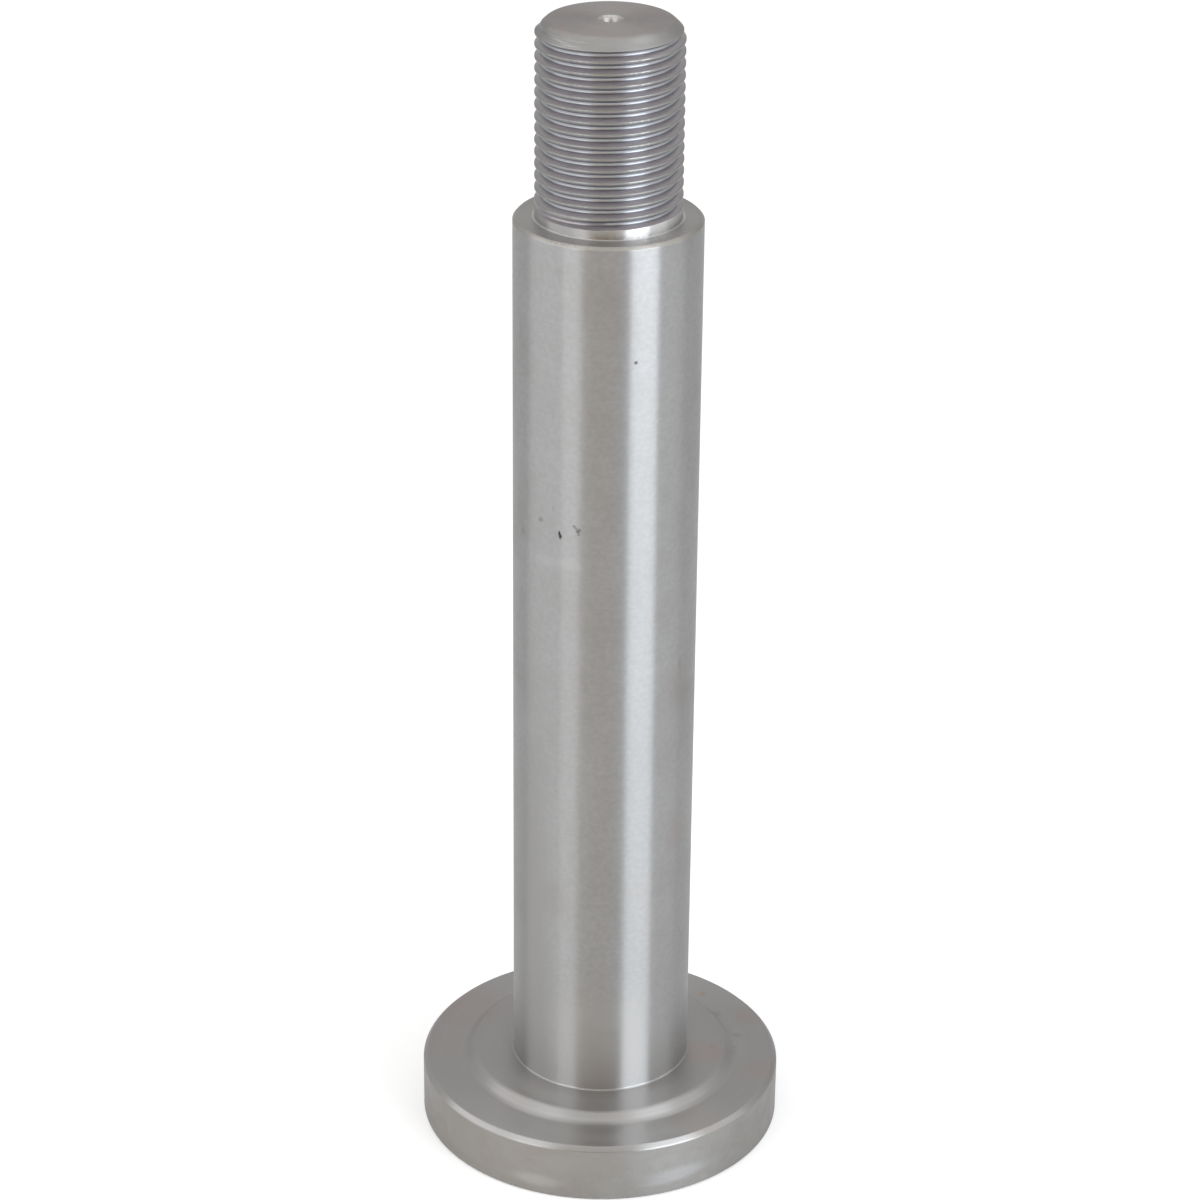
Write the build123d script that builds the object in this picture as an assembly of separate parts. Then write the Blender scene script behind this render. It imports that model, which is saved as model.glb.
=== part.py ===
from build123d import *
from math import atan, cos, degrees, radians, tan
import os

# A mower spindle shaft: one bar of steel, turned and ground between centres.
# The origin is the middle of the flange's underside, and +Z runs up the axis
# to the threaded end. All sizes are in millimetres.

# Journal, the ground length that the bearings sit on
journal_diameter = 28.575
journal_length = 144.4
base_fillet = 0.45
shoulder_chamfer = 0.5

# Flange, and the raised boss on it that the nearest bearing rests on
flange_diameter = 58.4
flange_thickness = 9.75
rim_chamfer = 0.7
underside_chamfer = 0.3
boss_land_width = 6.2
boss_height = 1.25
boss_slope_width = 1.7
boss_edge_radius = 0.8

# Right-hand thread, 7/8 inch across with 14 turns to the inch
thread_nominal_diameter = 22.225
thread_pitch = 25.4 / 14
thread_flank_angle = 30.0
thread_crest_flat = thread_pitch / 8
thread_root_flat = thread_pitch / 4
thread_runout_angle = 130.0

# Turned stub that carries the thread, and the plain collar below it
stub_allowance = 0.125
stub_length = 30.0
stub_end_chamfer = 1.8
collar_length = 1.45

# Centre-drill holes in both ends
centre_mouth_diameter = 3.8
centre_cone_angle = 60.0
centre_pilot_diameter = 2.0
centre_pilot_length = 2.0
centre_tip_angle = 118.0

# Distance by which the thread groove starts and ends outside the metal
groove_clearance = 0.4

# Sizes and heights that follow from those above
stub_diameter = thread_nominal_diameter - stub_allowance
boss_diameter = journal_diameter + 2 * boss_land_width
boss_top_height = flange_thickness + boss_height
shoulder_height = boss_top_height + journal_length
overall_length = shoulder_height + stub_length


def break_corner(outline, radius, height, size, operation):
    """Chamfer or fillet the corner of the outline that lies at one radius and height."""
    corner = outline.vertices().sort_by_distance((radius, height))[0]
    operation(corner, size)


def turned_blank():
    """The bar as the lathe leaves it before threading: one outline turned about the axis."""
    journal_radius = journal_diameter / 2
    flange_radius = flange_diameter / 2
    boss_radius = boss_diameter / 2
    boss_foot = boss_radius + boss_slope_width
    stub_radius = stub_diameter / 2
    with BuildPart() as blank:
        with BuildSketch(Plane.XZ) as outline:
            with BuildLine():
                Polyline(
                    (0, 0),
                    (flange_radius, 0),
                    (flange_radius, flange_thickness),
                    (boss_foot, flange_thickness),
                    (boss_radius, boss_top_height),
                    (journal_radius, boss_top_height),
                    (journal_radius, shoulder_height),
                    (stub_radius, shoulder_height),
                    (stub_radius, overall_length),
                    (0, overall_length),
                    close=True,
                )
            make_face()
            break_corner(outline, flange_radius, 0, underside_chamfer, chamfer)
            break_corner(outline, flange_radius, flange_thickness, rim_chamfer, chamfer)
            break_corner(outline, boss_radius, boss_top_height, boss_edge_radius, fillet)
            break_corner(outline, journal_radius, boss_top_height, base_fillet, fillet)
            break_corner(outline, journal_radius, shoulder_height, shoulder_chamfer, chamfer)
            break_corner(outline, stub_radius, overall_length, stub_end_chamfer, chamfer)
        revolve(axis=Axis.Z)
    return blank.part


def centre_hole():
    """The metal that a centre drill takes out, with its mouth at the origin and its tip below."""
    mouth_radius = centre_mouth_diameter / 2
    pilot_radius = centre_pilot_diameter / 2
    cone_depth = (mouth_radius - pilot_radius) / tan(radians(centre_cone_angle / 2))
    pilot_depth = cone_depth + centre_pilot_length
    tip_depth = pilot_depth + pilot_radius / tan(radians(centre_tip_angle / 2))
    with BuildPart() as hole:
        with BuildSketch(Plane.XZ):
            with BuildLine():
                Polyline(
                    (0, 0),
                    (mouth_radius, 0),
                    (pilot_radius, -cone_depth),
                    (pilot_radius, -pilot_depth),
                    (0, -tip_depth),
                    close=True,
                )
            make_face()
        revolve(axis=Axis.Z)
    return hole.part


def thread_groove():
    """The V-shaped groove of the thread, as a helix of full depth and its run-out.

    The groove's section lies in a plane through the axis: a flat bottom, and flanks that
    open outwards by the flank angle. Where it meets the collar it turns on along a cone,
    so that it rises evenly until it leaves the metal.
    """
    flank_slope = tan(radians(thread_flank_angle))
    nominal_depth = (thread_pitch - thread_crest_flat - thread_root_flat) / (2 * flank_slope)
    root_radius = thread_nominal_diameter / 2 - nominal_depth
    groove_depth = stub_diameter / 2 - root_radius
    outer_radius = stub_diameter / 2 + groove_clearance
    root_half_width = thread_root_flat / 2
    mouth_half_width = root_half_width + groove_depth * flank_slope
    outer_half_width = root_half_width + (outer_radius - root_radius) * flank_slope
    section = Plane.XZ * make_face(
        Polyline(
            (root_radius, -root_half_width),
            (outer_radius, -outer_half_width),
            (outer_radius, outer_half_width),
            (root_radius, root_half_width),
            close=True,
        )
    )

    start_height = shoulder_height + collar_length + mouth_half_width
    rise = overall_length + thread_pitch - start_height
    path_radius = (root_radius + outer_radius) / 2
    full_depth = sweep(section, path=Helix(thread_pitch, rise, path_radius), is_frenet=True)

    withdrawal = groove_depth + groove_clearance / 2
    turn = thread_runout_angle * withdrawal / groove_depth
    drop = thread_pitch * turn / 360
    cone_angle = atan(withdrawal / drop)
    runout_path = Helix(
        thread_pitch / cos(cone_angle),
        drop,
        path_radius + withdrawal,
        center=(0, 0, -drop),
        cone_angle=-degrees(cone_angle),
    )
    runout = sweep(section, path=Rot(0, 0, -turn) * runout_path, is_frenet=True)

    front = Pos(0, 0, start_height) * Rot(0, 0, -90)
    return [front * full_depth, front * runout]


def spindle_shaft():
    """The finished shaft: the turned blank with its centre holes drilled and its thread cut."""
    shaft = turned_blank()
    shaft -= Pos(0, 0, overall_length) * centre_hole()
    shaft -= Rot(180, 0, 0) * centre_hole()
    for groove in thread_groove():
        shaft -= groove
    return shaft


os.makedirs("parts", exist_ok=True)
export_step(spindle_shaft(), "parts/spindle_shaft.step")
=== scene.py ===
# %% [markdown]
# # A mower spindle shaft, turned and cut in Blender
#
# The real object is one bar of steel. A lathe gives it the flange, the boss, the long journal and
# the shorter stub, a grinder finishes the journal, and a threading tool cuts the groove on the
# stub. This lesson follows the same order: an outline is turned into the blank, a groove is cut
# out of it, and each surface then gets the finish that its tool leaves.
#
# The imported CAD model is loaded first. It fixes the frame, in metres with +Z up the axis.

import math

import bmesh
import bpy
from mathutils import Matrix, Vector


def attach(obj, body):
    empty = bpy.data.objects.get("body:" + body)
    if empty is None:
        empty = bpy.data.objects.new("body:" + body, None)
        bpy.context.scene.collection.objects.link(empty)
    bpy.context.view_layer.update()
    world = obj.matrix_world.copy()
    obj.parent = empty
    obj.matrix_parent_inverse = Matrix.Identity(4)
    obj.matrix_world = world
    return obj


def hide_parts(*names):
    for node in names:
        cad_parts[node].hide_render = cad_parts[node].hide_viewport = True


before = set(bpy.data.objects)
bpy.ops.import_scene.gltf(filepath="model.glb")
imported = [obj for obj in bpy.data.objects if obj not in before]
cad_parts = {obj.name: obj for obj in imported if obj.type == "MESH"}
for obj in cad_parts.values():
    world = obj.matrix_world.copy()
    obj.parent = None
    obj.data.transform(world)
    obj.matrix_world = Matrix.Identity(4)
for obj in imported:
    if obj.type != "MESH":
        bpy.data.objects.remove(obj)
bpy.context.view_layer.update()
print("frame pieces:", sorted(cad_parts))

# %% [markdown]
# ## The sizes on the drawing
#
# A turned part is drawn with diameters and lengths, so those are the values kept here, in
# millimetres. The meshes are made in millimetres too, because such numbers are easy to read, and
# each one is scaled to metres as its last step.

# %% Sizes in millimetres
MM = 0.001

journal_radius = 28.575 / 2
journal_length = 144.4
shoulder_chamfer = 0.5
flange_radius = 58.4 / 2
flange_thickness = 9.75
underside_chamfer = 0.3
rim_chamfer = 0.7
boss_land_width = 6.2
boss_slope_width = 1.7
boss_height = 1.25
stub_radius = 22.1 / 2
stub_length = 30.0
collar_length = 1.45
stub_end_chamfer = 1.8
end_dome_inset = 0.84
centre_mouth_radius = 1.9
centre_pilot_radius = 1.0
centre_pilot_length = 2.0
centre_cone_half_angle = 30
centre_tip_half_angle = 59
worn_ring_width = 0.45
worn_ring_depth = 0.26

boss_radius = journal_radius + boss_land_width
boss_foot_radius = boss_radius + boss_slope_width
boss_top = flange_thickness + boss_height
shoulder = boss_top + journal_length
end_face = shoulder + stub_length
cone_slope = math.tan(math.radians(centre_cone_half_angle))
tip_slope = math.tan(math.radians(centre_tip_half_angle))
centre_cone_depth = (centre_mouth_radius - centre_pilot_radius) / cone_slope
centre_tip_depth = centre_cone_depth + centre_pilot_length + centre_pilot_radius / tip_slope
print(f"shoulder at {shoulder:.2f} mm, end face at {end_face:.2f} mm")

# %% [markdown]
# ## The outline of the blank
#
# Half of the shaft's section is enough: the lathe turns it into the whole. It is a line of
# straight runs from the tip of the lower centre hole, out over the flange and up to the tip of the
# upper one. Each corner has a rounding. The ones on the boss and at the foot of the journal are
# large enough to see, and most of the rest are the tenth or two of a millimetre that is left when
# a sharp edge is broken. Those small ones matter, because a bright line along an edge is what makes
# steel look like steel. The chamfer at the very end is drawn with a point in its middle that stands
# a little proud, because the real one is slightly domed and runs softly into the end face. The
# mouth of the centre hole there has a worn, flatter ring inside it.
#
# The corners could be rounded after turning, with a bevel on whole rings of edges. A bevel on the
# single points of the wire gives the same rings from one tenth of the work.

# %% Corners of the outline: radius, height, rounding, number of flats on it
outline_corners = [
    (0, centre_tip_depth, 0, 0),
    (centre_pilot_radius, centre_cone_depth + centre_pilot_length, 0, 0),
    (centre_pilot_radius, centre_cone_depth, 0, 0),
    (centre_mouth_radius, 0, 0.06, 2),
    (flange_radius - underside_chamfer, 0, 0.05, 2),
    (flange_radius, underside_chamfer, 0.05, 2),
    (flange_radius, flange_thickness - rim_chamfer, 0.2, 4),
    (flange_radius - rim_chamfer, flange_thickness, 0.12, 3),
    (boss_foot_radius, flange_thickness, 0.6, 5),
    (boss_radius, boss_top, 0.4, 6),
    (journal_radius, boss_top, 0.3, 6),
    (journal_radius, shoulder - shoulder_chamfer, 0.06, 3),
    (journal_radius - shoulder_chamfer, shoulder, 0.06, 3),
    (stub_radius, shoulder, 0.12, 4),
    (stub_radius, end_face - stub_end_chamfer, 0.1, 3),
    (stub_radius - end_dome_inset, end_face - end_dome_inset, 0.5, 4),
    (stub_radius - stub_end_chamfer, end_face, 0.45, 5),
    (centre_mouth_radius, end_face, 0.06, 2),
    (centre_mouth_radius - worn_ring_width, end_face - worn_ring_depth, 0.1, 2),
    (centre_pilot_radius, end_face - centre_cone_depth, 0, 0),
    (centre_pilot_radius, end_face - centre_cone_depth - centre_pilot_length, 0, 0),
    (0, end_face - centre_tip_depth, 0, 0),
]


def round_corner(bm, corner, rounding, flats):
    """Round one point of a wire, as that number of flats."""
    bmesh.ops.bevel(
        bm, geom=[corner], offset=rounding, offset_type="OFFSET",
        affect="VERTICES", segments=flats, profile=0.5, material=-1,
    )


def draw_outline(corners):
    """A bmesh that holds the half section as a wire in the XZ plane, its corners rounded."""
    bm = bmesh.new()
    points = [bm.verts.new((radius, 0, height)) for radius, height, _, _ in corners]
    for start, end in zip(points, points[1:]):
        bm.edges.new((start, end))
    for point, (_, _, rounding, flats) in zip(points, corners):
        if rounding:
            round_corner(bm, point, rounding, flats)
    return bm


blank = draw_outline(outline_corners)
print("outline:", len(blank.verts), "points")

# %% [markdown]
# ## Turning the blank
#
# Spin is the lathe. It turns the wire once round the Z axis, in steps of 1.8 degrees,
# and `use_merge` joins the last step to the first. The two end points lie on the axis, so each
# spins into a pile of points in one place, and merging them closes the tips. Then the normals are
# recalculated, because nothing tells a spun skin which of its sides is outside.
#
# The groove will be swept in steps of the same size. If its edges lay on the blank's edges, the
# cut would leave slivers wherever two of them nearly meet. So the blank is turned on by half a
# step, and each edge of one then crosses the middle of a face of the other.

# %% Turn it
steps_per_turn = 200
step_angle = math.tau / steps_per_turn
tip_merge = 0.0001


def turn(bm):
    """Spin the wire in the bmesh once round the Z axis, as a closed skin facing outwards."""
    bmesh.ops.spin(
        bm, geom=bm.verts[:] + bm.edges[:], cent=(0, 0, 0), axis=(0, 0, 1),
        angle=math.tau, steps=steps_per_turn, use_merge=True,
    )
    bmesh.ops.remove_doubles(bm, verts=bm.verts, dist=tip_merge)
    bmesh.ops.recalc_face_normals(bm, faces=bm.faces)


turn(blank)
half_step = Matrix.Rotation(step_angle / 2, 3, "Z")
bmesh.ops.rotate(blank, verts=blank.verts, cent=(0, 0, 0), matrix=half_step)
print("blank:", len(blank.faces), "faces, volume", round(blank.calc_volume()), "mm3")

# %% [markdown]
# ## The threading tool
#
# A 7/8 inch thread with 14 turns to the inch is a groove 25.4/14 mm from turn to turn, with flanks
# that open at 60 degrees. The groove is made as a solid of its own, the space that the tool sweeps
# through, and taken away from the blank afterwards.
#
# Its section has a rounded bottom, as the tool's nose leaves it, and it flares where it passes the
# surface, which breaks the sharp crests. The section starts at the front of the shaft.

# %% Section of the groove
thread_pitch = 25.4 / 14
flank_slope = math.tan(math.radians(30))
nominal_depth = thread_pitch * 5 / 8 / (2 * flank_slope)
root_radius = 22.225 / 2 - nominal_depth
groove_depth = stub_radius - root_radius
root_half_width = thread_pitch / 8
mouth_half_width = root_half_width + groove_depth * flank_slope
groove_start = shoulder + collar_length + mouth_half_width
root_rounding = 0.13
crest_break = 0.025
crest_break_width = 0.035
flare_out, flare_up = 0.4, 0.8


def groove_section():
    """The closed wire of the tool's section, at the front, and its ring of edges."""
    bm = bmesh.new()
    break_radius = stub_radius - crest_break
    break_half_width = root_half_width + (groove_depth - crest_break) * flank_slope
    upper_half = [
        (root_radius, root_half_width),
        (break_radius, break_half_width),
        (stub_radius, break_half_width + crest_break_width),
        (stub_radius + flare_out, break_half_width + flare_up),
    ]
    section = upper_half[::-1] + [(radius, -half) for radius, half in upper_half]
    ring = [bm.verts.new((0, -radius, groove_start + height)) for radius, height in section]
    for start, end in zip(ring, ring[1:] + ring[:1]):
        bm.edges.new((start, end))
    upper_break, upper_root, lower_root, lower_break = ring[2:6]
    round_corner(bm, upper_root, root_rounding, 3)
    round_corner(bm, lower_root, root_rounding, 3)
    round_corner(bm, upper_break, crest_break, 2)
    round_corner(bm, lower_break, crest_break, 2)
    return bm


groove = groove_section()
print(f"groove {groove_depth:.3f} mm deep, section of {len(groove.verts)} points")

# %% [markdown]
# ## Sweeping the groove
#
# Spin with a rise per step, `dvec`, sweeps a helix. One turn is enough. It is copied upwards one
# pitch at a time, and the copies are merged where they meet, which is far quicker than spinning
# sixteen turns. Seen from the front, this sweep moves to the right as it climbs, which makes a
# right-hand thread.
#
# A thread doesn't just stop at its lower end. The tool is drawn out of the metal while the work
# still turns, so the groove gets shallower over a third of a turn. That run-out is extruded here
# step by step: each new ring is turned back, lowered and moved outwards a little.

# %% Run-out, then one turn, then sixteen
runout_degrees = 130
steps_past_metal = 14
runout_steps = round(runout_degrees * steps_per_turn / 360)
withdrawal_step = groove_depth / runout_steps
rise_step = thread_pitch / steps_per_turn
thread_turns = 16
turn_merge = 0.005


def sweep_runout(bm, ring_edges):
    """Extrude the ring back and down, out of the metal, and on until it is clear of it."""
    edges = ring_edges
    for step in range(1, runout_steps + steps_past_metal + 1):
        grown = bmesh.ops.extrude_edge_only(bm, edges=edges)["geom"]
        points = [g for g in grown if isinstance(g, bmesh.types.BMVert)]
        edges = [g for g in grown if isinstance(g, bmesh.types.BMEdge)]
        angle = -math.pi / 2 - step * step_angle
        outwards = Vector((math.cos(angle), math.sin(angle), 0)) * withdrawal_step
        turned_back = Matrix.Rotation(-step_angle, 3, "Z")
        bmesh.ops.rotate(bm, verts=points, cent=(0, 0, 0), matrix=turned_back)
        bmesh.ops.translate(bm, verts=points, vec=outwards - Vector((0, 0, rise_step)))


def sweep_helix(bm, ring_edges):
    """Spin the ring through one turn with its rise, and stack copies of that turn."""
    before = set(bm.faces)
    bmesh.ops.spin(
        bm, geom=ring_edges, cent=(0, 0, 0), axis=(0, 0, 1),
        angle=math.tau, steps=steps_per_turn, dvec=(0, 0, rise_step),
    )
    one_turn = [face for face in bm.faces if face not in before]
    for number in range(1, thread_turns):
        copy = bmesh.ops.duplicate(bm, geom=one_turn)["geom"]
        points = [g for g in copy if isinstance(g, bmesh.types.BMVert)]
        bmesh.ops.translate(bm, verts=points, vec=(0, 0, number * thread_pitch))


first_ring = groove.edges[:]
sweep_runout(groove, first_ring)
sweep_helix(groove, first_ring)
bmesh.ops.remove_doubles(groove, verts=groove.verts, dist=turn_merge)
bmesh.ops.holes_fill(groove, edges=[edge for edge in groove.edges if edge.is_boundary])
bmesh.ops.recalc_face_normals(groove, faces=groove.faces)
print("groove:", len(groove.faces), "faces, closed:", all(e.is_manifold for e in groove.edges))

# %% [markdown]
# ## Cutting the thread
#
# A Boolean takes the groove out of the blank. Both are closed skins, so the quick manifold solver
# can do it, and its result is closed again. The groove could also be modelled straight into the
# skin, ring by ring, but a Boolean works out the run-out and the cut through the end chamfer by
# itself, just as the tool does.

# %% Cut it
def as_object(name, bm):
    """Scale the bmesh to metres and put it in the scene under that name."""
    bmesh.ops.scale(bm, verts=bm.verts, vec=(MM, MM, MM))
    mesh = bpy.data.meshes.new(name)
    bm.to_mesh(mesh)
    bm.free()
    made = bpy.data.objects.new(name, mesh)
    bpy.context.scene.collection.objects.link(made)
    return made


def keep_result(piece):
    """Replace the piece's mesh with what its modifiers make of it, and clear them."""
    evaluated = piece.evaluated_get(bpy.context.evaluated_depsgraph_get())
    piece.data = bpy.data.meshes.new_from_object(evaluated)
    piece.modifiers.clear()


turned_shaft = as_object("turned_shaft", blank)
groove_tool = as_object("groove_tool", groove)
cut = turned_shaft.modifiers.new("thread", "BOOLEAN")
cut.operation = "DIFFERENCE"
cut.solver = "MANIFOLD"
cut.object = groove_tool
keep_result(turned_shaft)
bpy.data.objects.remove(groove_tool)
print("after the cut:", len(turned_shaft.data.polygons), "faces")

# %% [markdown]
# ## Clean faces and honest shading
#
# All faces are shaded smooth, which hides the flats of the turning. An edge that turns by more
# than 32 degrees is marked sharp. Between them the narrow roundings would bend the shading of the
# wide faces beside them, so a Weighted Normal modifier lets the wide faces decide. The prints say
# whether the cut left a closed skin, and how long its shortest edge is.

# %% Mark the sharp edges and weigh the normals
sharp_angle = math.radians(32)


def smooth_skin(piece):
    """Shade the faces smooth, mark the sharp edges and say whether the skin is closed."""
    bm = bmesh.new()
    bm.from_mesh(piece.data)
    shortest = min(edge.calc_length() for edge in bm.edges)
    print(f"shortest edge {shortest / MM:.4f} mm")
    for face in bm.faces:
        face.smooth = True
    for edge in bm.edges:
        edge.smooth = edge.calc_face_angle(0) < sharp_angle
    print("closed:", all(edge.is_manifold for edge in bm.edges))
    print("volume in mm3:", round(bm.calc_volume() / MM**3))
    bm.to_mesh(piece.data)
    bm.free()


smooth_skin(turned_shaft)
weigh = turned_shaft.modifiers.new("weighted", "WEIGHTED_NORMAL")
weigh.mode = "FACE_AREA"
weigh.keep_sharp = True
keep_result(turned_shaft)
print("triangles:", sum(len(face.vertices) - 2 for face in turned_shaft.data.polygons))

# %% [markdown]
# ## Helpers for the finishes
#
# A finish is a tree of nodes. Small helpers keep the trees readable: one adds a node with its
# settings and inputs, two do arithmetic on numbers and on places, and the rest make a noise, ease a
# value, mix two colours, and build or place a node group. An input is either a value or the output
# of another node.

# %% Node helpers
def add(tree, kind, inputs=None, **settings):
    """Add a node, set its properties, and fill or link its inputs."""
    node = tree.nodes.new(kind)
    for name, value in settings.items():
        setattr(node, name, value)
    for name, value in (inputs or {}).items():
        if isinstance(value, bpy.types.NodeSocket):
            tree.links.new(value, node.inputs[name])
        else:
            node.inputs[name].default_value = value
    return node


def calc(tree, operation, first, second=0.0):
    """One step of arithmetic, as the output of a Math node."""
    return add(tree, "ShaderNodeMath", {0: first, 1: second}, operation=operation).outputs[0]


def vector(tree, operation, inputs):
    """One step of arithmetic on places, as the output of a Vector Math node."""
    return add(tree, "ShaderNodeVectorMath", inputs, operation=operation).outputs[0]


def noise(tree, place, scale, detail, roughness=0.5, distortion=0.0):
    """A noise texture over a place."""
    inputs = {
        "Vector": place, "Scale": scale, "Detail": detail,
        "Roughness": roughness, "Distortion": distortion,
    }
    return add(tree, "ShaderNodeTexNoise", inputs).outputs


def ramp(tree, value, low, high, to_low=0.0, to_high=1.0):
    """The value's place between low and high, eased, as a number from to_low to to_high."""
    span = {"Value": value, "From Min": low, "From Max": high, "To Min": to_low, "To Max": to_high}
    return add(tree, "ShaderNodeMapRange", span, interpolation_type="SMOOTHSTEP").outputs[0]


def blend(tree, factor, first, second):
    """Two colours mixed by a factor."""
    mixed = add(tree, "ShaderNodeMix", data_type="RGBA")
    for name, kind, value in (("Factor", "VALUE", factor), ("A", "RGBA", first), ("B", "RGBA", second)):
        socket = next(s for s in mixed.inputs if s.name == name and s.type == kind)
        if isinstance(value, bpy.types.NodeSocket):
            tree.links.new(value, socket)
        else:
            socket.default_value = value
    return next(s for s in mixed.outputs if s.type == "RGBA")


def new_group(name, inputs, outputs):
    """An empty node group with named sockets, and its input and output nodes."""
    group = bpy.data.node_groups.new(name, "ShaderNodeTree")
    for socket, kind, value in inputs:
        made = group.interface.new_socket(socket, in_out="INPUT", socket_type=kind)
        if value is not None:
            made.default_value = value
    for socket, kind in outputs:
        group.interface.new_socket(socket, in_out="OUTPUT", socket_type=kind)
    return group, group.nodes.new("NodeGroupInput"), group.nodes.new("NodeGroupOutput")


def use(tree, group, inputs):
    """Place a node group in a tree, with its inputs filled."""
    return add(tree, "ShaderNodeGroup", inputs, node_tree=group)


# %% [markdown]
# ## Lines that a tool leaves round the axis
#
# Every surface here was cut or ground while the bar turned, so its marks run round the axis. A
# noise texture makes them if its coordinates are stretched: slow in X and Y, and quick across the
# marks. Across the marks is upwards on the journal and outwards on a flat face, so the quick
# coordinate is the height plus a share of the radius, and one group serves them all. A slow noise
# is added to it, which lets the lines wander a little, as ground ones do.

# %% Node group: tool marks
radius_share = 1.7
wander_gain = 4.0
broad_share = 0.12


def make_tool_marks():
    group, given, result = new_group(
        "tool_marks",
        [
            ("Lines per mm", "NodeSocketFloat", 3.0),
            ("Length in mm", "NodeSocketFloat", 12.0),
            ("Wander in mm", "NodeSocketFloat", 0.3),
        ],
        [("Fine", "NodeSocketFloat"), ("Broad", "NodeSocketFloat"), ("Radius", "NodeSocketFloat")],
    )
    place = add(group, "ShaderNodeTexCoord").outputs["Object"]
    in_mm = vector(group, "MULTIPLY", {0: place, 1: (1000, 1000, 1000)})
    axes = add(group, "ShaderNodeSeparateXYZ", {0: in_mm}).outputs
    x_squared = calc(group, "MULTIPLY", axes[0], axes[0])
    y_squared = calc(group, "MULTIPLY", axes[1], axes[1])
    radius = calc(group, "SQRT", calc(group, "ADD", x_squared, y_squared))
    across = calc(group, "ADD", axes[2], calc(group, "MULTIPLY", radius, radius_share))

    slow = noise(group, in_mm, 0.12, 1.0)
    centred = calc(group, "SUBTRACT", slow[0], 0.5)
    shift = calc(group, "MULTIPLY", centred, given.outputs["Wander in mm"])
    across = calc(group, "ADD", across, calc(group, "MULTIPLY", shift, wander_gain))

    along = calc(group, "DIVIDE", 1.0, given.outputs["Length in mm"])
    around = [calc(group, "MULTIPLY", axes[0], along), calc(group, "MULTIPLY", axes[1], along)]
    quick = calc(group, "MULTIPLY", across, given.outputs["Lines per mm"])
    stretched = add(group, "ShaderNodeCombineXYZ", {0: around[0], 1: around[1], 2: quick})
    fine = noise(group, stretched.outputs[0], 1.0, 4.0, 0.65)
    wide = calc(group, "MULTIPLY", quick, broad_share)
    widened = add(group, "ShaderNodeCombineXYZ", {0: around[0], 1: around[1], 2: wide})
    broad = noise(group, widened.outputs[0], 1.0, 3.0)
    group.links.new(fine[0], result.inputs["Fine"])
    group.links.new(broad[0], result.inputs["Broad"])
    group.links.new(radius, result.inputs["Radius"])
    return group


tool_marks = make_tool_marks()
print("group:", tool_marks.name, len(tool_marks.nodes), "nodes")

# %% [markdown]
# ## Film, specks and handled steel
#
# Bare steel never keeps one even colour. A thin film of oil and oxide lies on it in clouds, and
# small dark specks sit where it has started to spot. The clouds and the specks come from two
# noises of very different size.

# %% Node group: steel film
def make_steel_film():
    group, given, result = new_group(
        "steel_film",
        [
            ("Cloud size in mm", "NodeSocketFloat", 8.0),
            ("Speck size in mm", "NodeSocketFloat", 0.5),
            ("Specks", "NodeSocketFloat", 0.5),
        ],
        [("Clouds", "NodeSocketFloat"), ("Specks", "NodeSocketFloat")],
    )
    place = add(group, "ShaderNodeTexCoord").outputs["Object"]
    cloud_scale = calc(group, "DIVIDE", 1000.0, given.outputs["Cloud size in mm"])
    clouds = noise(group, place, cloud_scale, 5.0, 0.6, 0.4)
    speck_scale = calc(group, "DIVIDE", 1000.0, given.outputs["Speck size in mm"])
    specks = noise(group, place, speck_scale, 3.0, 0.7)
    threshold = calc(group, "SUBTRACT", 0.78, calc(group, "MULTIPLY", given.outputs["Specks"], 0.2))
    mask = ramp(group, specks[0], threshold, calc(group, "ADD", threshold, 0.05))
    group.links.new(clouds[0], result.inputs["Clouds"])
    group.links.new(mask, result.inputs["Specks"])
    return group


steel_film = make_steel_film()
print("group:", steel_film.name)

# %% [markdown]
# ## Edges that have been rubbed bright
#
# Edges are touched most, so they are smoother and brighter than the faces between them. The Bevel
# node gives the normal that a rounded edge would have. Where it differs from the true normal, an
# edge is near, and that difference is the mask.

# %% Node group: rubbed edges
def make_rubbed_edges():
    group, given, result = new_group(
        "rubbed_edges",
        [("Width in mm", "NodeSocketFloat", 0.3)],
        [("Edge", "NodeSocketFloat")],
    )
    width = calc(group, "MULTIPLY", given.outputs["Width in mm"], MM)
    rounded = add(group, "ShaderNodeBevel", {"Radius": width}, samples=4)
    true_normal = add(group, "ShaderNodeNewGeometry").outputs["Normal"]
    both = {0: rounded.outputs[0], 1: true_normal}
    aligned = add(group, "ShaderNodeVectorMath", both, operation="DOT_PRODUCT").outputs["Value"]
    group.links.new(ramp(group, aligned, 0.998, 0.93), result.inputs["Edge"])
    return group


rubbed_edges = make_rubbed_edges()
print("group:", rubbed_edges.name)

# %% [markdown]
# ## Marks of use
#
# This shaft has been handled and stored: it has a dark pit on its journal, a smudge beside it, a
# few specks, and faint stains. Each of them is a soft-edged ball in space. Where the ball meets
# the surface there is a mark, so its centre is enough to place it. The ball may be stretched
# along an axis. One noise pushes all the places about a little, so that no mark is a neat ellipse.
#
# A mark could also be painted on an image, but then it would need an unwrapped surface and a file.

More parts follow.
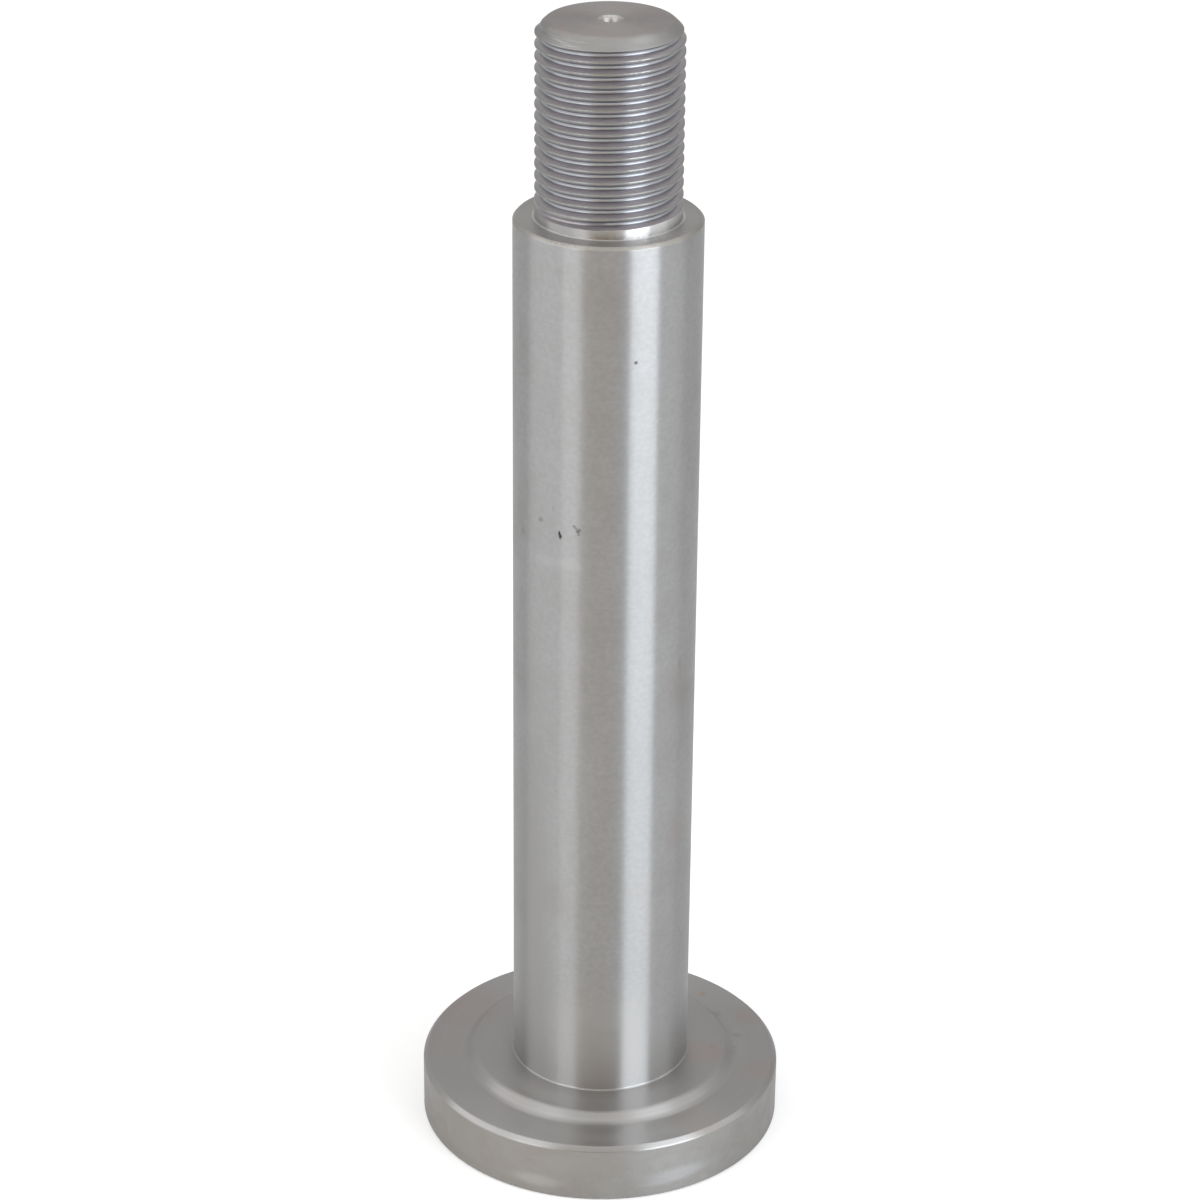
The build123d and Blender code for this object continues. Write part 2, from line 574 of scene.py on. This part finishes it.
# %% Node groups: ragged place and mark
def make_ragged_place():
    group, given, result = new_group(
        "ragged_place",
        [("Raggedness in mm", "NodeSocketFloat", 0.3)],
        [("Place", "NodeSocketVector")],
    )
    place = add(group, "ShaderNodeTexCoord").outputs["Object"]
    in_mm = vector(group, "MULTIPLY", {0: place, 1: (1000, 1000, 1000)})
    ragged = noise(group, in_mm, 1.6, 3.0, 0.6)["Color"]
    centred = vector(group, "SUBTRACT", {0: ragged, 1: (0.5, 0.5, 0.5)})
    push = vector(group, "SCALE", {0: centred, "Scale": given.outputs["Raggedness in mm"]})
    pushed = vector(group, "ADD", {0: in_mm, 1: push})
    group.links.new(pushed, result.inputs["Place"])
    return group


def make_mark():
    group, given, result = new_group(
        "mark",
        [
            ("Place", "NodeSocketVector", None),
            ("Centre in mm", "NodeSocketVector", (0, 0, 0)),
            ("Size in mm", "NodeSocketVector", (1, 1, 1)),
        ],
        [("Mask", "NodeSocketFloat")],
    )
    wanted = given.outputs
    offset = vector(group, "SUBTRACT", {0: wanted["Place"], 1: wanted["Centre in mm"]})
    ball = vector(group, "DIVIDE", {0: offset, 1: wanted["Size in mm"]})
    distance = add(group, "ShaderNodeVectorMath", {0: ball}, operation="LENGTH").outputs["Value"]
    group.links.new(ramp(group, distance, 1.15, 0.35), result.inputs["Mask"])
    return group


ragged_place = make_ragged_place()
mark = make_mark()
print("groups:", ragged_place.name, "and", mark.name)


# %% [markdown]
# ## Laying the marks
#
# A finish keeps its marks in a list, one row for each. This function goes down the list and mixes
# one colour after another over the steel. A place is given as an azimuth from the front, a radius
# and a height, because that is how a place on a turned part is found.

# %% Function: lay marks over a colour
def lay_marks(tree, colour, raggedness, marks):
    """Mix marks over a colour. Each has an azimuth, radius, height, width, tallness, strength and colour."""
    place = use(tree, ragged_place, {"Raggedness in mm": raggedness}).outputs["Place"]
    for azimuth, radius, height, width, tallness, strength, shade in marks:
        turned = math.radians(azimuth)
        centre = (radius * math.sin(turned), -radius * math.cos(turned), height)
        size = (width / 2, width / 2, tallness / 2)
        mask = use(tree, mark, {"Place": place, "Centre in mm": centre, "Size in mm": size}).outputs["Mask"]
        colour = blend(tree, calc(tree, "MULTIPLY", mask, strength), colour, (*shade, 1))
    return colour


# %% [markdown]
# ## What the finishes share
#
# Each finish ends in the same shader, a metal whose reflections are drawn out across the tool
# marks. The Tangent node runs round the Z axis, and turning it by a quarter lays the blur across
# the marks, so a lamp becomes an upright streak on the journal and a ray on a flat face.

# %% Functions: steel shader, and the nodes that every finish uses
def steel_shader(name, anisotropy, colour, roughness, height, bump_strength, bump_mm):
    """Link colour, roughness and height outputs into a metal, and give the material."""
    material = bpy.data.materials[name]
    tree = material.node_tree
    relief = {"Strength": bump_strength, "Distance": bump_mm * MM, "Height": height}
    bump = add(tree, "ShaderNodeBump", relief)
    around = add(tree, "ShaderNodeTangent", direction_type="RADIAL", axis="Z")
    shader = add(
        tree, "ShaderNodeBsdfPrincipled",
        {
            "Base Color": colour, "Roughness": roughness, "Metallic": 1.0,
            "Anisotropic": anisotropy, "Anisotropic Rotation": 0.25,
            "Tangent": around.outputs[0], "Normal": bump.outputs[0],
        },
    )
    tree.links.new(shader.outputs[0], add(tree, "ShaderNodeOutputMaterial").inputs["Surface"])
    return material


def new_finish(name):
    """An empty material, and its node tree."""
    material = bpy.data.materials.new(name)
    material.use_nodes = True
    material.node_tree.nodes.clear()
    return material, material.node_tree


def marks_of(tree, lines_per_mm, length, wander):
    """Tool marks with so many lines to the millimetre, and their length and wander in millimetres."""
    wanted = {"Lines per mm": lines_per_mm, "Length in mm": length, "Wander in mm": wander}
    return use(tree, tool_marks, wanted).outputs


def film_of(tree, cloud_size, speck_size, specks):
    """A steel film with its clouds' and specks' size in millimetres, and the specks' density."""
    wanted = {"Cloud size in mm": cloud_size, "Speck size in mm": speck_size, "Specks": specks}
    return use(tree, steel_film, wanted).outputs


def edge_of(tree, width):
    """Rubbed edges of a width in millimetres."""
    return use(tree, rubbed_edges, {"Width in mm": width}).outputs["Edge"]


# %% [markdown]
# ## The ground journal
#
# The grinder leaves the journal even and bright. From a step away its marks are only a short,
# soft mottle with a few longer lines in it, so two sets of tool marks are added up. The blur runs
# as far up and down as the shader allows, which keeps the sides of each reflection crisp.
#
# Most of its marks are small: the pit, the smudge and the specks. The rest are faint stains, a
# painted highlight that lightens the foot, and a very tall mark that darkens the steel low on the left.

# %% Material: ground journal
journal_stains_and_painted_highlight = [
    (-29.0, 14.29, 109.15, 0.62, 1.15, 0.95, (0.05, 0.05, 0.045)),
    (-28.3, 14.29, 108.75, 0.62, 1.15, 0.95, (0.05, 0.05, 0.045)),
    (-16.8, 14.29, 110.1, 0.95, 0.8, 0.8, (0.16, 0.155, 0.15)),
    (-15.8, 14.29, 110.4, 0.7, 0.45, 0.6, (0.2, 0.19, 0.18)),
    (-16.4, 14.29, 109.6, 0.55, 0.8, 0.6, (0.2, 0.19, 0.18)),
    (-18.0, 14.29, 110.6, 0.75, 0.6, 0.6, (0.2, 0.19, 0.18)),
    (-19.3, 14.29, 110.85, 0.7, 0.5, 0.65, (0.18, 0.17, 0.16)),
    (-43.2, 14.29, 110.55, 1.3, 1.1, 0.45, (0.2, 0.19, 0.18)),
    (-33.4, 14.29, 113.0, 0.5, 1.0, 0.3, (0.22, 0.21, 0.2)),
    (-60.9, 14.29, 107.2, 1.5, 1.8, 0.25, (0.25, 0.24, 0.23)),
    (17.3, 14.29, 137.4, 0.7, 0.7, 0.9, (0.1, 0.1, 0.1)),
    (55.0, 14.29, 85.0, 1.0, 2.2, 0.3, (0.28, 0.26, 0.25)),
    # Painted highlight: the foot of the journal is painted lighter at the front.
    (2.0, 14.29, 19.0, 27.0, 26.0, 0.6, (0.53, 0.525, 0.52)),
    (-32.0, 14.29, 45.3, 7.0, 8.0, 0.25, (0.36, 0.32, 0.28)),
    (56.0, 14.29, 81.4, 7.0, 9.0, 0.35, (0.42, 0.38, 0.365)),
    (54.0, 14.29, 55.7, 6.0, 9.0, 0.35, (0.42, 0.38, 0.365)),
    (40.0, 14.29, 95.7, 6.0, 7.0, 0.3, (0.42, 0.385, 0.375)),
    (-39.0, 14.29, 104.0, 6.0, 2.2, 0.45, (0.52, 0.52, 0.515)),
    (-22.0, 14.29, 104.4, 6.0, 2.4, 0.5, (0.52, 0.52, 0.515)),
    (36.0, 14.29, 86.0, 6.0, 2.5, 0.35, (0.51, 0.51, 0.505)),
    (-50.0, 14.29, 15.0, 10.0, 150.0, 0.85, (0.395, 0.39, 0.38)),
]


def make_ground_journal():
    material, tree = new_finish("ground_journal")
    mottle = marks_of(tree, 1.4, 0.85, 0.5)["Fine"]
    lines = marks_of(tree, 3.0, 12.0, 0.15)["Fine"]
    film = film_of(tree, 14.0, 0.6, 0.25)
    edge = edge_of(tree, 0.25)
    grain = calc(tree, "ADD", calc(tree, "MULTIPLY", mottle, 0.8), calc(tree, "MULTIPLY", lines, 0.2))
    colour = blend(tree, ramp(tree, grain, 0.35, 0.65), (0.435, 0.435, 0.435, 1), (0.475, 0.475, 0.475, 1))
    colour = blend(tree, ramp(tree, film["Clouds"], 0.35, 0.75, 0.0, 0.35), colour, (0.41, 0.395, 0.385, 1))
    colour = blend(tree, calc(tree, "MULTIPLY", film["Specks"], 0.5), colour, (0.2, 0.18, 0.17, 1))
    colour = blend(tree, edge, colour, (0.56, 0.56, 0.56, 1))
    colour = lay_marks(tree, colour, 0.45, journal_stains_and_painted_highlight)
    roughness = ramp(tree, grain, 0.3, 0.7, 0.38, 0.34)
    roughness = calc(tree, "ADD", roughness, ramp(tree, film["Clouds"], 0.3, 0.8, -0.015, 0.03))
    return steel_shader("ground_journal", 1.0, colour, roughness, grain, 0.25, 0.004)


ground_journal = make_ground_journal()
print("finish:", ground_journal.name)

# %% [markdown]
# ## The turned faces
#
# The flange's face, the boss and the shoulder were faced on the lathe. The marks run in rings and
# are so fine that the journal still mirrors in the boss, sharp from side to side and drawn out
# towards the rim. A pinkish film lies on the flange in patches, and some faint specks of rust round
# the foot of the boss were placed from the photograph. Two of the marks are wide, flat ones on the
# axis. They reach only the collar above the shoulder and the chamfer below it, and paint both
# lighter all round, as a painted highlight. The last four are painted shade and painted highlights:
# darker places on the shoulder, and lighter ones on the collar.
#
# A thin bright line is painted into the shoulder at the foot of the collar, as a painted highlight.
# It is picked out by its distance from the axis.

# %% Material: turned faces
face_stains_and_painted_light = [
    (-118.0, 26.0, 9.75, 17.0, 12.0, 0.6, (0.45, 0.39, 0.38)),
    (-92.0, 27.0, 9.75, 11.0, 12.0, 0.35, (0.44, 0.395, 0.38)),
    (36.0, 26.0, 9.75, 9.0, 12.0, 0.6, (0.44, 0.40, 0.375)),
    (78.0, 27.0, 9.75, 8.0, 12.0, 0.6, (0.45, 0.395, 0.385)),
    (113.0, 27.0, 9.75, 6.0, 12.0, 0.6, (0.45, 0.38, 0.37)),
    (82.0, 17.5, 11.0, 8.5, 3.0, 0.7, (0.45, 0.39, 0.38)),
    (135.3, 24.7, 9.75, 2.0, 2.0, 0.6, (0.43, 0.33, 0.27)),
    (123.2, 21.4, 9.75, 2.2, 2.2, 0.5, (0.42, 0.31, 0.29)),
    (119.5, 22.3, 9.75, 2.0, 2.0, 0.5, (0.33, 0.32, 0.3)),
    (101.4, 23.2, 9.75, 1.9, 1.9, 0.5, (0.34, 0.325, 0.31)),
    (91.5, 22.2, 9.75, 1.2, 1.4, 0.45, (0.35, 0.34, 0.31)),
    (88.0, 22.2, 9.75, 1.2, 1.4, 0.4, (0.35, 0.34, 0.31)),
    (87.3, 18.6, 11.0, 1.4, 1.4, 0.45, (0.42, 0.33, 0.28)),
    # Painted highlight: the collar and the chamfer below the shoulder, lighter all round.
    (0.0, 0.0, 156.5, 44.0, 2.2, 1.0, (0.56, 0.56, 0.56)),
    (0.0, 0.0, 155.1, 60.0, 0.6, 0.8, (0.49, 0.455, 0.41)),
    # Painted shade on the shoulder, then painted highlights on the collar.
    (-31.0, 12.6, 155.4, 9.0, 0.4, 0.8, (0.35, 0.335, 0.335)),
    (29.0, 12.6, 155.4, 8.0, 0.4, 0.8, (0.35, 0.335, 0.335)),
    (-33.0, 11.05, 156.5, 9.0, 2.4, 0.7, (0.46, 0.455, 0.45)),
    (41.0, 11.05, 156.6, 14.0, 2.8, 0.8, (0.77, 0.77, 0.77)),
]


def make_turned_face():
    material, tree = new_finish("turned_face")
    marks = marks_of(tree, 3.2, 30.0, 0.02)
    film = film_of(tree, 9.0, 0.45, 0.3)
    edge = edge_of(tree, 0.3)
    rings = ramp(tree, marks["Fine"], 0.3, 0.7)
    colour = blend(tree, rings, (0.423, 0.416, 0.41, 1), (0.443, 0.437, 0.43, 1))
    colour = blend(tree, ramp(tree, film["Clouds"], 0.35, 0.75, 0.0, 0.4), colour, (0.43, 0.395, 0.38, 1))
    colour = blend(tree, calc(tree, "MULTIPLY", film["Specks"], 0.6), colour, (0.2, 0.13, 0.11, 1))
    colour = blend(tree, edge, colour, (0.475, 0.445, 0.415, 1))
    colour = lay_marks(tree, colour, 1.2, face_stains_and_painted_light)
    # Painted highlight: a thin bright line on the shoulder at the foot of the collar.
    past_collar = ramp(tree, marks["Radius"], stub_radius + 0.01, stub_radius + 0.04)
    near_collar = ramp(tree, marks["Radius"], stub_radius + 0.42, stub_radius + 0.3)
    painted_foot_highlight = calc(tree, "MINIMUM", past_collar, near_collar)
    colour = blend(tree, painted_foot_highlight, colour, (0.64, 0.645, 0.635, 1))
    roughness = ramp(tree, marks["Broad"], 0.3, 0.7, 0.33, 0.39)
    roughness = calc(tree, "ADD", roughness, calc(tree, "MULTIPLY", edge, 0.05))
    height = calc(tree, "ADD", marks["Fine"], marks["Broad"])
    return steel_shader("turned_face", 0.9, colour, roughness, height, 0.2, 0.004)


turned_face = make_turned_face()
print("finish:", turned_face.name)

# %% [markdown]
# ## The dull end
#
# The upper end face and its chamfer are duller than the flange. They were faced in a hurry, and
# the oil on them has dried to a pinkish film, so the rings hardly show and nothing mirrors in it.
# The chamfer has lost most of that film, and a few thin light strokes are painted on it as painted
# highlights. Those are the first four marks, long and very flat. The other two are a lighter place
# and a pinkish one.

# %% Material: dull end
end_marks_and_painted_highlights = [
    # Painted highlights: thin light strokes on the chamfer.
    (-55.0, 10.4, 184.5, 3.8, 0.24, 0.6, (0.52, 0.515, 0.505)),
    (-44.0, 10.3, 184.2, 4.8, 0.22, 0.65, (0.53, 0.525, 0.515)),
    (-34.0, 10.5, 183.95, 3.8, 0.2, 0.6, (0.52, 0.515, 0.505)),
    (-62.0, 9.7, 185.0, 3.0, 0.24, 0.45, (0.48, 0.475, 0.465)),
    (30.0, 9.9, 184.9, 5.0, 1.2, 0.55, (0.43, 0.425, 0.41)),
    (-52.0, 9.4, 185.2, 5.0, 1.0, 0.5, (0.41, 0.36, 0.35)),
]


def make_dull_end():
    material, tree = new_finish("dull_end")
    marks = marks_of(tree, 2.2, 5.0, 0.3)
    film = film_of(tree, 3.5, 0.4, 0.4)
    edge = edge_of(tree, 0.3)
    oil = ramp(tree, film["Clouds"], 0.3, 0.7)
    colour = blend(tree, oil, (0.365, 0.35, 0.343, 1), (0.36, 0.325, 0.316, 1))
    chamfer = ramp(tree, marks["Radius"], stub_radius - 1.9, stub_radius - 1.5, 0.0, 0.8)
    colour = blend(tree, chamfer, colour, (0.34, 0.337, 0.328, 1))
    colour = blend(tree, ramp(tree, marks["Fine"], 0.45, 0.75, 0.0, 0.5), colour, (0.385, 0.38, 0.373, 1))
    colour = lay_marks(tree, colour, 0.3, end_marks_and_painted_highlights)
    colour = blend(tree, calc(tree, "MULTIPLY", film["Specks"], 0.4), colour, (0.26, 0.2, 0.18, 1))
    colour = blend(tree, edge, colour, (0.41, 0.405, 0.4, 1))
    roughness = ramp(tree, film["Clouds"], 0.3, 0.7, 0.5, 0.58)
    height = calc(tree, "ADD", marks["Fine"], calc(tree, "MULTIPLY", film["Clouds"], 0.5))
    return steel_shader("dull_end", 0.4, colour, roughness, height, 0.3, 0.006)


dull_end = make_dull_end()
print("finish:", dull_end.name)

# %% [markdown]
# ## The flange's side
#
# The side of the flange has a duller skin with a brown cast, stronger to the left of the front,
# and lamps show in it only as soft patches. Handling has left a few level smears on it. They are
# laid as marks with soft edges, while the stains get ragged ones.

# %% Material: flange side
side_stains = [
    (-35.0, 29.2, 5.0, 44.0, 40.0, 0.6, (0.395, 0.36, 0.325)),
    (70.0, 29.2, 5.0, 30.0, 40.0, 0.45, (0.375, 0.355, 0.335)),
]
side_smears = [
    (26.0, 29.2, 3.4, 12.0, 3.0, 0.8, (0.54, 0.545, 0.55)),
    (20.0, 29.2, 2.4, 9.0, 1.4, 0.5, (0.54, 0.545, 0.55)),
    (-20.0, 29.2, 2.6, 10.0, 2.6, 0.75, (0.53, 0.515, 0.49)),
    (-6.0, 29.2, 6.5, 15.0, 4.0, 0.3, (0.47, 0.455, 0.43)),
]


def make_flange_side():
    material, tree = new_finish("flange_side")
    marks = marks_of(tree, 1.2, 5.0, 0.3)
    film = film_of(tree, 6.0, 0.45, 0.35)
    smears = marks_of(tree, 0.7, 2.6, 0.3)["Fine"]
    edge = edge_of(tree, 0.3)
    skin = ramp(tree, film["Clouds"], 0.3, 0.7)
    colour = blend(tree, skin, (0.43, 0.427, 0.42, 1), (0.385, 0.37, 0.355, 1))
    colour = blend(tree, ramp(tree, smears, 0.5, 0.7, 0.0, 0.5), colour, (0.47, 0.465, 0.455, 1))
    colour = lay_marks(tree, colour, 3.0, side_stains)
    colour = lay_marks(tree, colour, 0.8, side_smears)
    colour = blend(tree, ramp(tree, marks["Fine"], 0.45, 0.75, 0.0, 0.3), colour, (0.43, 0.425, 0.415, 1))
    colour = blend(tree, calc(tree, "MULTIPLY", film["Specks"], 0.6), colour, (0.2, 0.15, 0.12, 1))
    colour = blend(tree, edge, colour, (0.52, 0.51, 0.5, 1))
    roughness = ramp(tree, film["Clouds"], 0.3, 0.7, 0.36, 0.46)
    height = calc(tree, "ADD", marks["Fine"], film["Clouds"])
    return steel_shader("flange_side", 0.6, colour, roughness, height, 0.4, 0.01)


flange_side = make_flange_side()
print("finish:", flange_side.name)

# %% [markdown]
# ## The cut thread
#
# The crests are what is left of the turned stub and are a little warm. The flanks of the groove
# keep clouds of cutting oil, and they are painted with a purple cast, a painted tint of the light that
# bounces between them. The corners of the groove are painted dark blue, as painted shade. The bottom
# between them is lighter and bluish. All four are told apart by how far they are from the axis.

# %% Material: cut thread
def make_cut_thread():
    material, tree = new_finish("cut_thread")
    marks = marks_of(tree, 5.0, 8.0, 0.05)
    film = film_of(tree, 4.0, 0.35, 0.4)
    root = (0.445, 0.462, 0.485, 1)
    # Painted shade: the corners of the groove are painted dark.
    corner = (0.28, 0.292, 0.32, 1)
    # Painted tint: the flanks' purple stands in for light bounced between them.
    flank_painted_tint = (0.43, 0.405, 0.428, 1)
    crest = (0.345, 0.345, 0.335, 1)
    colour = blend(tree, ramp(tree, marks["Radius"], root_radius + 0.005, root_radius + 0.04), root, corner)
    colour = blend(tree, ramp(tree, marks["Radius"], root_radius + 0.09, root_radius + 0.3), colour, flank_painted_tint)
    colour = blend(tree, ramp(tree, marks["Radius"], stub_radius - 0.25, stub_radius - 0.05), colour, crest)
    colour = blend(tree, ramp(tree, film["Clouds"], 0.35, 0.75, 0.0, 0.3), colour, (0.34, 0.315, 0.325, 1))
    colour = blend(tree, calc(tree, "MULTIPLY", film["Specks"], 0.5), colour, (0.2, 0.15, 0.14, 1))
    roughness = ramp(tree, marks["Fine"], 0.3, 0.7, 0.29, 0.37)
    return steel_shader("cut_thread", 0.5, colour, roughness, marks["Fine"], 0.3, 0.006)


cut_thread = make_cut_thread()
print("finish:", cut_thread.name)

# %% [markdown]
# ## The centre holes
#
# The cones that the lathe's centres sat in are burnished in places and torn in others. Small clouds
# of two greys with a rough bump between them give that look.

# %% Material: centre hole
def make_centre_hole():
    material, tree = new_finish("centre_hole")
    marks = marks_of(tree, 4.0, 1.2, 0.2)
    film = film_of(tree, 0.6, 0.3, 0.4)
    torn = ramp(tree, film["Clouds"], 0.35, 0.65)
    colour = blend(tree, torn, (0.57, 0.56, 0.54, 1), (0.43, 0.415, 0.395, 1))
    roughness = ramp(tree, marks["Fine"], 0.3, 0.7, 0.38, 0.5)
    height = calc(tree, "ADD", marks["Fine"], calc(tree, "MULTIPLY", film["Clouds"], 2.0))
    return steel_shader("centre_hole", 0.2, colour, roughness, height, 0.4, 0.03)


centre_hole = make_centre_hole()
print("finish:", centre_hole.name)

# %% [markdown]
# ## Giving each face its finish
#
# The faces are told apart by where they are. A face's middle has a radius and a height, and the
# drawing's sizes say which tool made it. The thread climbs, so at the back the collar is taller
# than at the front, and its faces are known by their radius as well.

# %% Hand out the finishes
finishes = [ground_journal, turned_face, dull_end, flange_side, cut_thread, centre_hole]
journal_end = shoulder - 0.3
journal_reach = journal_radius + 0.5
side_start = flange_radius - 0.2
thread_start = shoulder + collar_length - 0.4
thread_end = end_face - stub_end_chamfer
collar_end = shoulder + collar_length + 0.8
collar_skin = stub_radius - 0.05
groove_reach = stub_radius - 0.2
upright_slope = 0.3
level_slope = 0.95


def finish_of(radius, height, slope):
    """The finish of a face from its middle, in millimetres, and its normal's rise."""
    if radius < centre_mouth_radius:
        return centre_hole
    if boss_top < height < journal_end and radius < journal_reach:
        return ground_journal
    if radius > side_start and abs(slope) < upright_slope:
        return flange_side
    on_collar = radius > collar_skin and height < collar_end
    if thread_start < height < thread_end and not on_collar:
        return cut_thread
    above_thread = height - thread_end
    if above_thread > 0:
        in_groove = radius + above_thread < groove_reach and slope < level_slope
        return cut_thread if in_groove else dull_end
    return turned_face


def hand_out_finishes(piece):
    """Give the piece the finishes as its materials, and each face the number of its own."""
    piece.data.materials.clear()
    for finish in finishes:
        piece.data.materials.append(finish)
    count = {finish.name: 0 for finish in finishes}
    for face in piece.data.polygons:
        middle = face.center / MM
        finish = finish_of(math.hypot(middle.x, middle.y), middle.z, face.normal.z)
        face.material_index = finishes.index(finish)
        count[finish.name] += 1
    print("faces per finish:", count)


hand_out_finishes(turned_shaft)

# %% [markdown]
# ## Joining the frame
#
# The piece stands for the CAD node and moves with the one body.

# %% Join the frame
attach(turned_shaft, "root")
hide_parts("spindle_shaft")
print("turned_shaft rides on root")

# %% [markdown]
# ## Floor and light
#
# Steel shows what is round it, so the studio is part of its look. The floor is plain and pale. It
# shines a little by itself, but only for the camera. It looks nearly white then, like the paper
# sweep of a studio, while the steel still mirrors a floor that is as dark as a real one.

# %% Floor
floor_radius = 6.0
floor_glow = 0.34


def make_floor():
    bm = bmesh.new()
    bmesh.ops.create_circle(bm, cap_ends=True, segments=96, radius=floor_radius)
    mesh = bpy.data.meshes.new("floor")
    bm.to_mesh(mesh)
    bm.free()
    floor = bpy.data.objects.new("floor", mesh)
    bpy.context.scene.collection.objects.link(floor)
    material, tree = new_finish("pale_floor")
    place = add(tree, "ShaderNodeTexCoord").outputs["Object"]
    grain = noise(tree, place, 3.0, 2.0)
    colour = blend(tree, grain[0], (0.75, 0.75, 0.75, 1), (0.77, 0.77, 0.77, 1))
    seen = add(tree, "ShaderNodeLightPath").outputs["Is Camera Ray"]
    shader = add(
        tree, "ShaderNodeBsdfPrincipled",
        {
            "Base Color": colour, "Roughness": 0.9, "Specular IOR Level": 0.1,
            "Emission Color": (1, 1, 1, 1), "Emission Strength": calc(tree, "MULTIPLY", seen, floor_glow),
        },
    )
    tree.links.new(shader.outputs[0], add(tree, "ShaderNodeOutputMaterial").inputs["Surface"])
    floor.data.materials.append(material)


make_floor()
print("floor:", floor_radius, "m in radius")

# %% [markdown]
# ## Lamps
#
# A broad lamp hangs overhead. A large panel stands to the right of the camera and makes the bright
# band on the journal, a narrower one to the left makes the weaker band, and a wall of light stands
# at each side. They are all area lamps, because a small lamp would leave a hard streak on steel.

# %% Lamps
aim_height = 0.09


def soft_panel(name, azimuth, elevation, distance, width, height, power, colour=(1, 1, 1)):
    """A rectangular lamp at an azimuth from the camera's side, facing the middle of the shaft."""
    lamp = bpy.data.lights.new(name, "AREA")
    lamp.shape = "RECTANGLE"
    lamp.size, lamp.size_y = width, height
    lamp.energy = power
    lamp.color = colour
    holder = bpy.data.objects.new(name, lamp)
    turned, lift = math.radians(azimuth), math.radians(elevation)
    level = math.cos(lift)
    direction = Vector((math.sin(turned) * level, -math.cos(turned) * level, math.sin(lift)))
    holder.location = Vector((0, 0, aim_height)) + direction * distance
    holder.rotation_euler = direction.to_track_quat("Z", "Y").to_euler()
    holder.visible_camera = False
    bpy.context.scene.collection.objects.link(holder)


soft_panel("overhead_lamp", 0, 90, 1.3, 1.6, 1.6, 5.2)
soft_panel("right_panel", 44.5, 16.5, 1.2, 0.73, 0.72, 7.2, (0.89, 0.945, 1.0))
soft_panel("left_panel", -42.5, 20, 1.2, 0.50, 0.9, 2.15)
soft_panel("left_wall", -80, 20, 1.25, 1.1, 0.9, 2.8)
soft_panel("right_wall", 84, 20, 1.25, 0.7, 0.9, 1.0)

# %% [markdown]
# ## The room
#
# The world stands for the rest of the room. The camera sees it white. The steel mirrors grey walls,
# a ceiling that is paler to the sides, and behind the camera an end that is warm, and dimmer to the
# right. The front of the journal mirrors that end, and it makes the darker, warmer stripe beside
# the bright band. It is drawn by direction: an azimuth for the walls, a height for the ceiling.

# %% Room
def make_room():
    """A white room to the camera, and in the steel a grey one with a warm, dim end behind the camera."""
    world = bpy.data.worlds.new("room")
    bpy.context.scene.world = world
    world.use_nodes = True
    tree = world.node_tree
    tree.nodes.clear()
    outwards = add(tree, "ShaderNodeTexCoord").outputs["Generated"]
    axes = add(tree, "ShaderNodeSeparateXYZ", {0: outwards}).outputs
    azimuth = calc(tree, "ARCTAN2", axes[0], calc(tree, "MULTIPLY", axes[1], -1.0))
    walls = blend(tree, ramp(tree, azimuth, -0.62, -0.46), (0.45, 0.45, 0.445, 1), (0.66, 0.47, 0.16, 1))
    walls = blend(tree, ramp(tree, azimuth, -0.28, -0.14), walls, (0.51, 0.30, 0.11, 1))
    walls = blend(tree, ramp(tree, azimuth, 0.16, 0.30), walls, (0.40, 0.36, 0.31, 1))
    walls = blend(tree, ramp(tree, azimuth, 0.40, 0.50), walls, (0.45, 0.45, 0.445, 1))
    walls = blend(tree, ramp(tree, axes[1], 0.4, 0.8), walls, (0.53, 0.53, 0.525, 1))
    back_right = ramp(tree, calc(tree, "MINIMUM", calc(tree, "SUBTRACT", axes[0], 0.35), axes[1]), 0.1, 0.3)
    walls = blend(tree, back_right, walls, (0.36, 0.36, 0.355, 1))
    sideways = ramp(tree, calc(tree, "ABSOLUTE", axes[0]), 0.45, 0.75)
    ceiling = blend(tree, sideways, (0.60, 0.60, 0.60, 1), (0.86, 0.86, 0.86, 1))
    walls = blend(tree, ramp(tree, axes[2], 0.15, 0.5), walls, ceiling)
    seen = add(tree, "ShaderNodeBackground", {"Color": (1.0, 1.0, 1.0, 1), "Strength": 1.0})
    felt = add(tree, "ShaderNodeBackground", {"Color": walls, "Strength": 1.0})
    by_camera = add(tree, "ShaderNodeLightPath").outputs["Is Camera Ray"]
    mixed = add(tree, "ShaderNodeMixShader", {0: by_camera, 1: felt.outputs[0], 2: seen.outputs[0]})
    tree.links.new(mixed.outputs[0], add(tree, "ShaderNodeOutputWorld").inputs["Surface"])


make_room()
bpy.context.scene.view_settings.view_transform = "Standard"
print("room:", bpy.context.scene.world.name)

# %% [markdown]
# ## Camera
#
# The camera looks down on the shaft from the front, a little over half a metre away. Its place was
# found by fitting the edges of the flange, boss and shoulder to those in the photograph. The small
# roll is the photograph's own.

# %% Camera
lens_mm = 107.85
sensor_mm = 36.0
camera_place = (0, -0.50509, 0.334)
turned_left = 0.083
looks_down = 25.585
rolled = 0.55


def make_camera():
    data = bpy.data.cameras.new("camera")
    data.lens = lens_mm
    data.sensor_width = sensor_mm
    camera = bpy.data.objects.new("camera", data)
    heading = Matrix.Rotation(math.radians(turned_left), 4, "Z")
    tilt = Matrix.Rotation(math.radians(90 - looks_down), 4, "X")
    roll = Matrix.Rotation(math.radians(rolled), 4, "Z")
    camera.matrix_world = Matrix.Translation(camera_place) @ heading @ tilt @ roll
    bpy.context.scene.collection.objects.link(camera)
    bpy.context.scene.camera = camera


make_camera()
print("camera lens in mm:", bpy.context.scene.camera.data.lens)
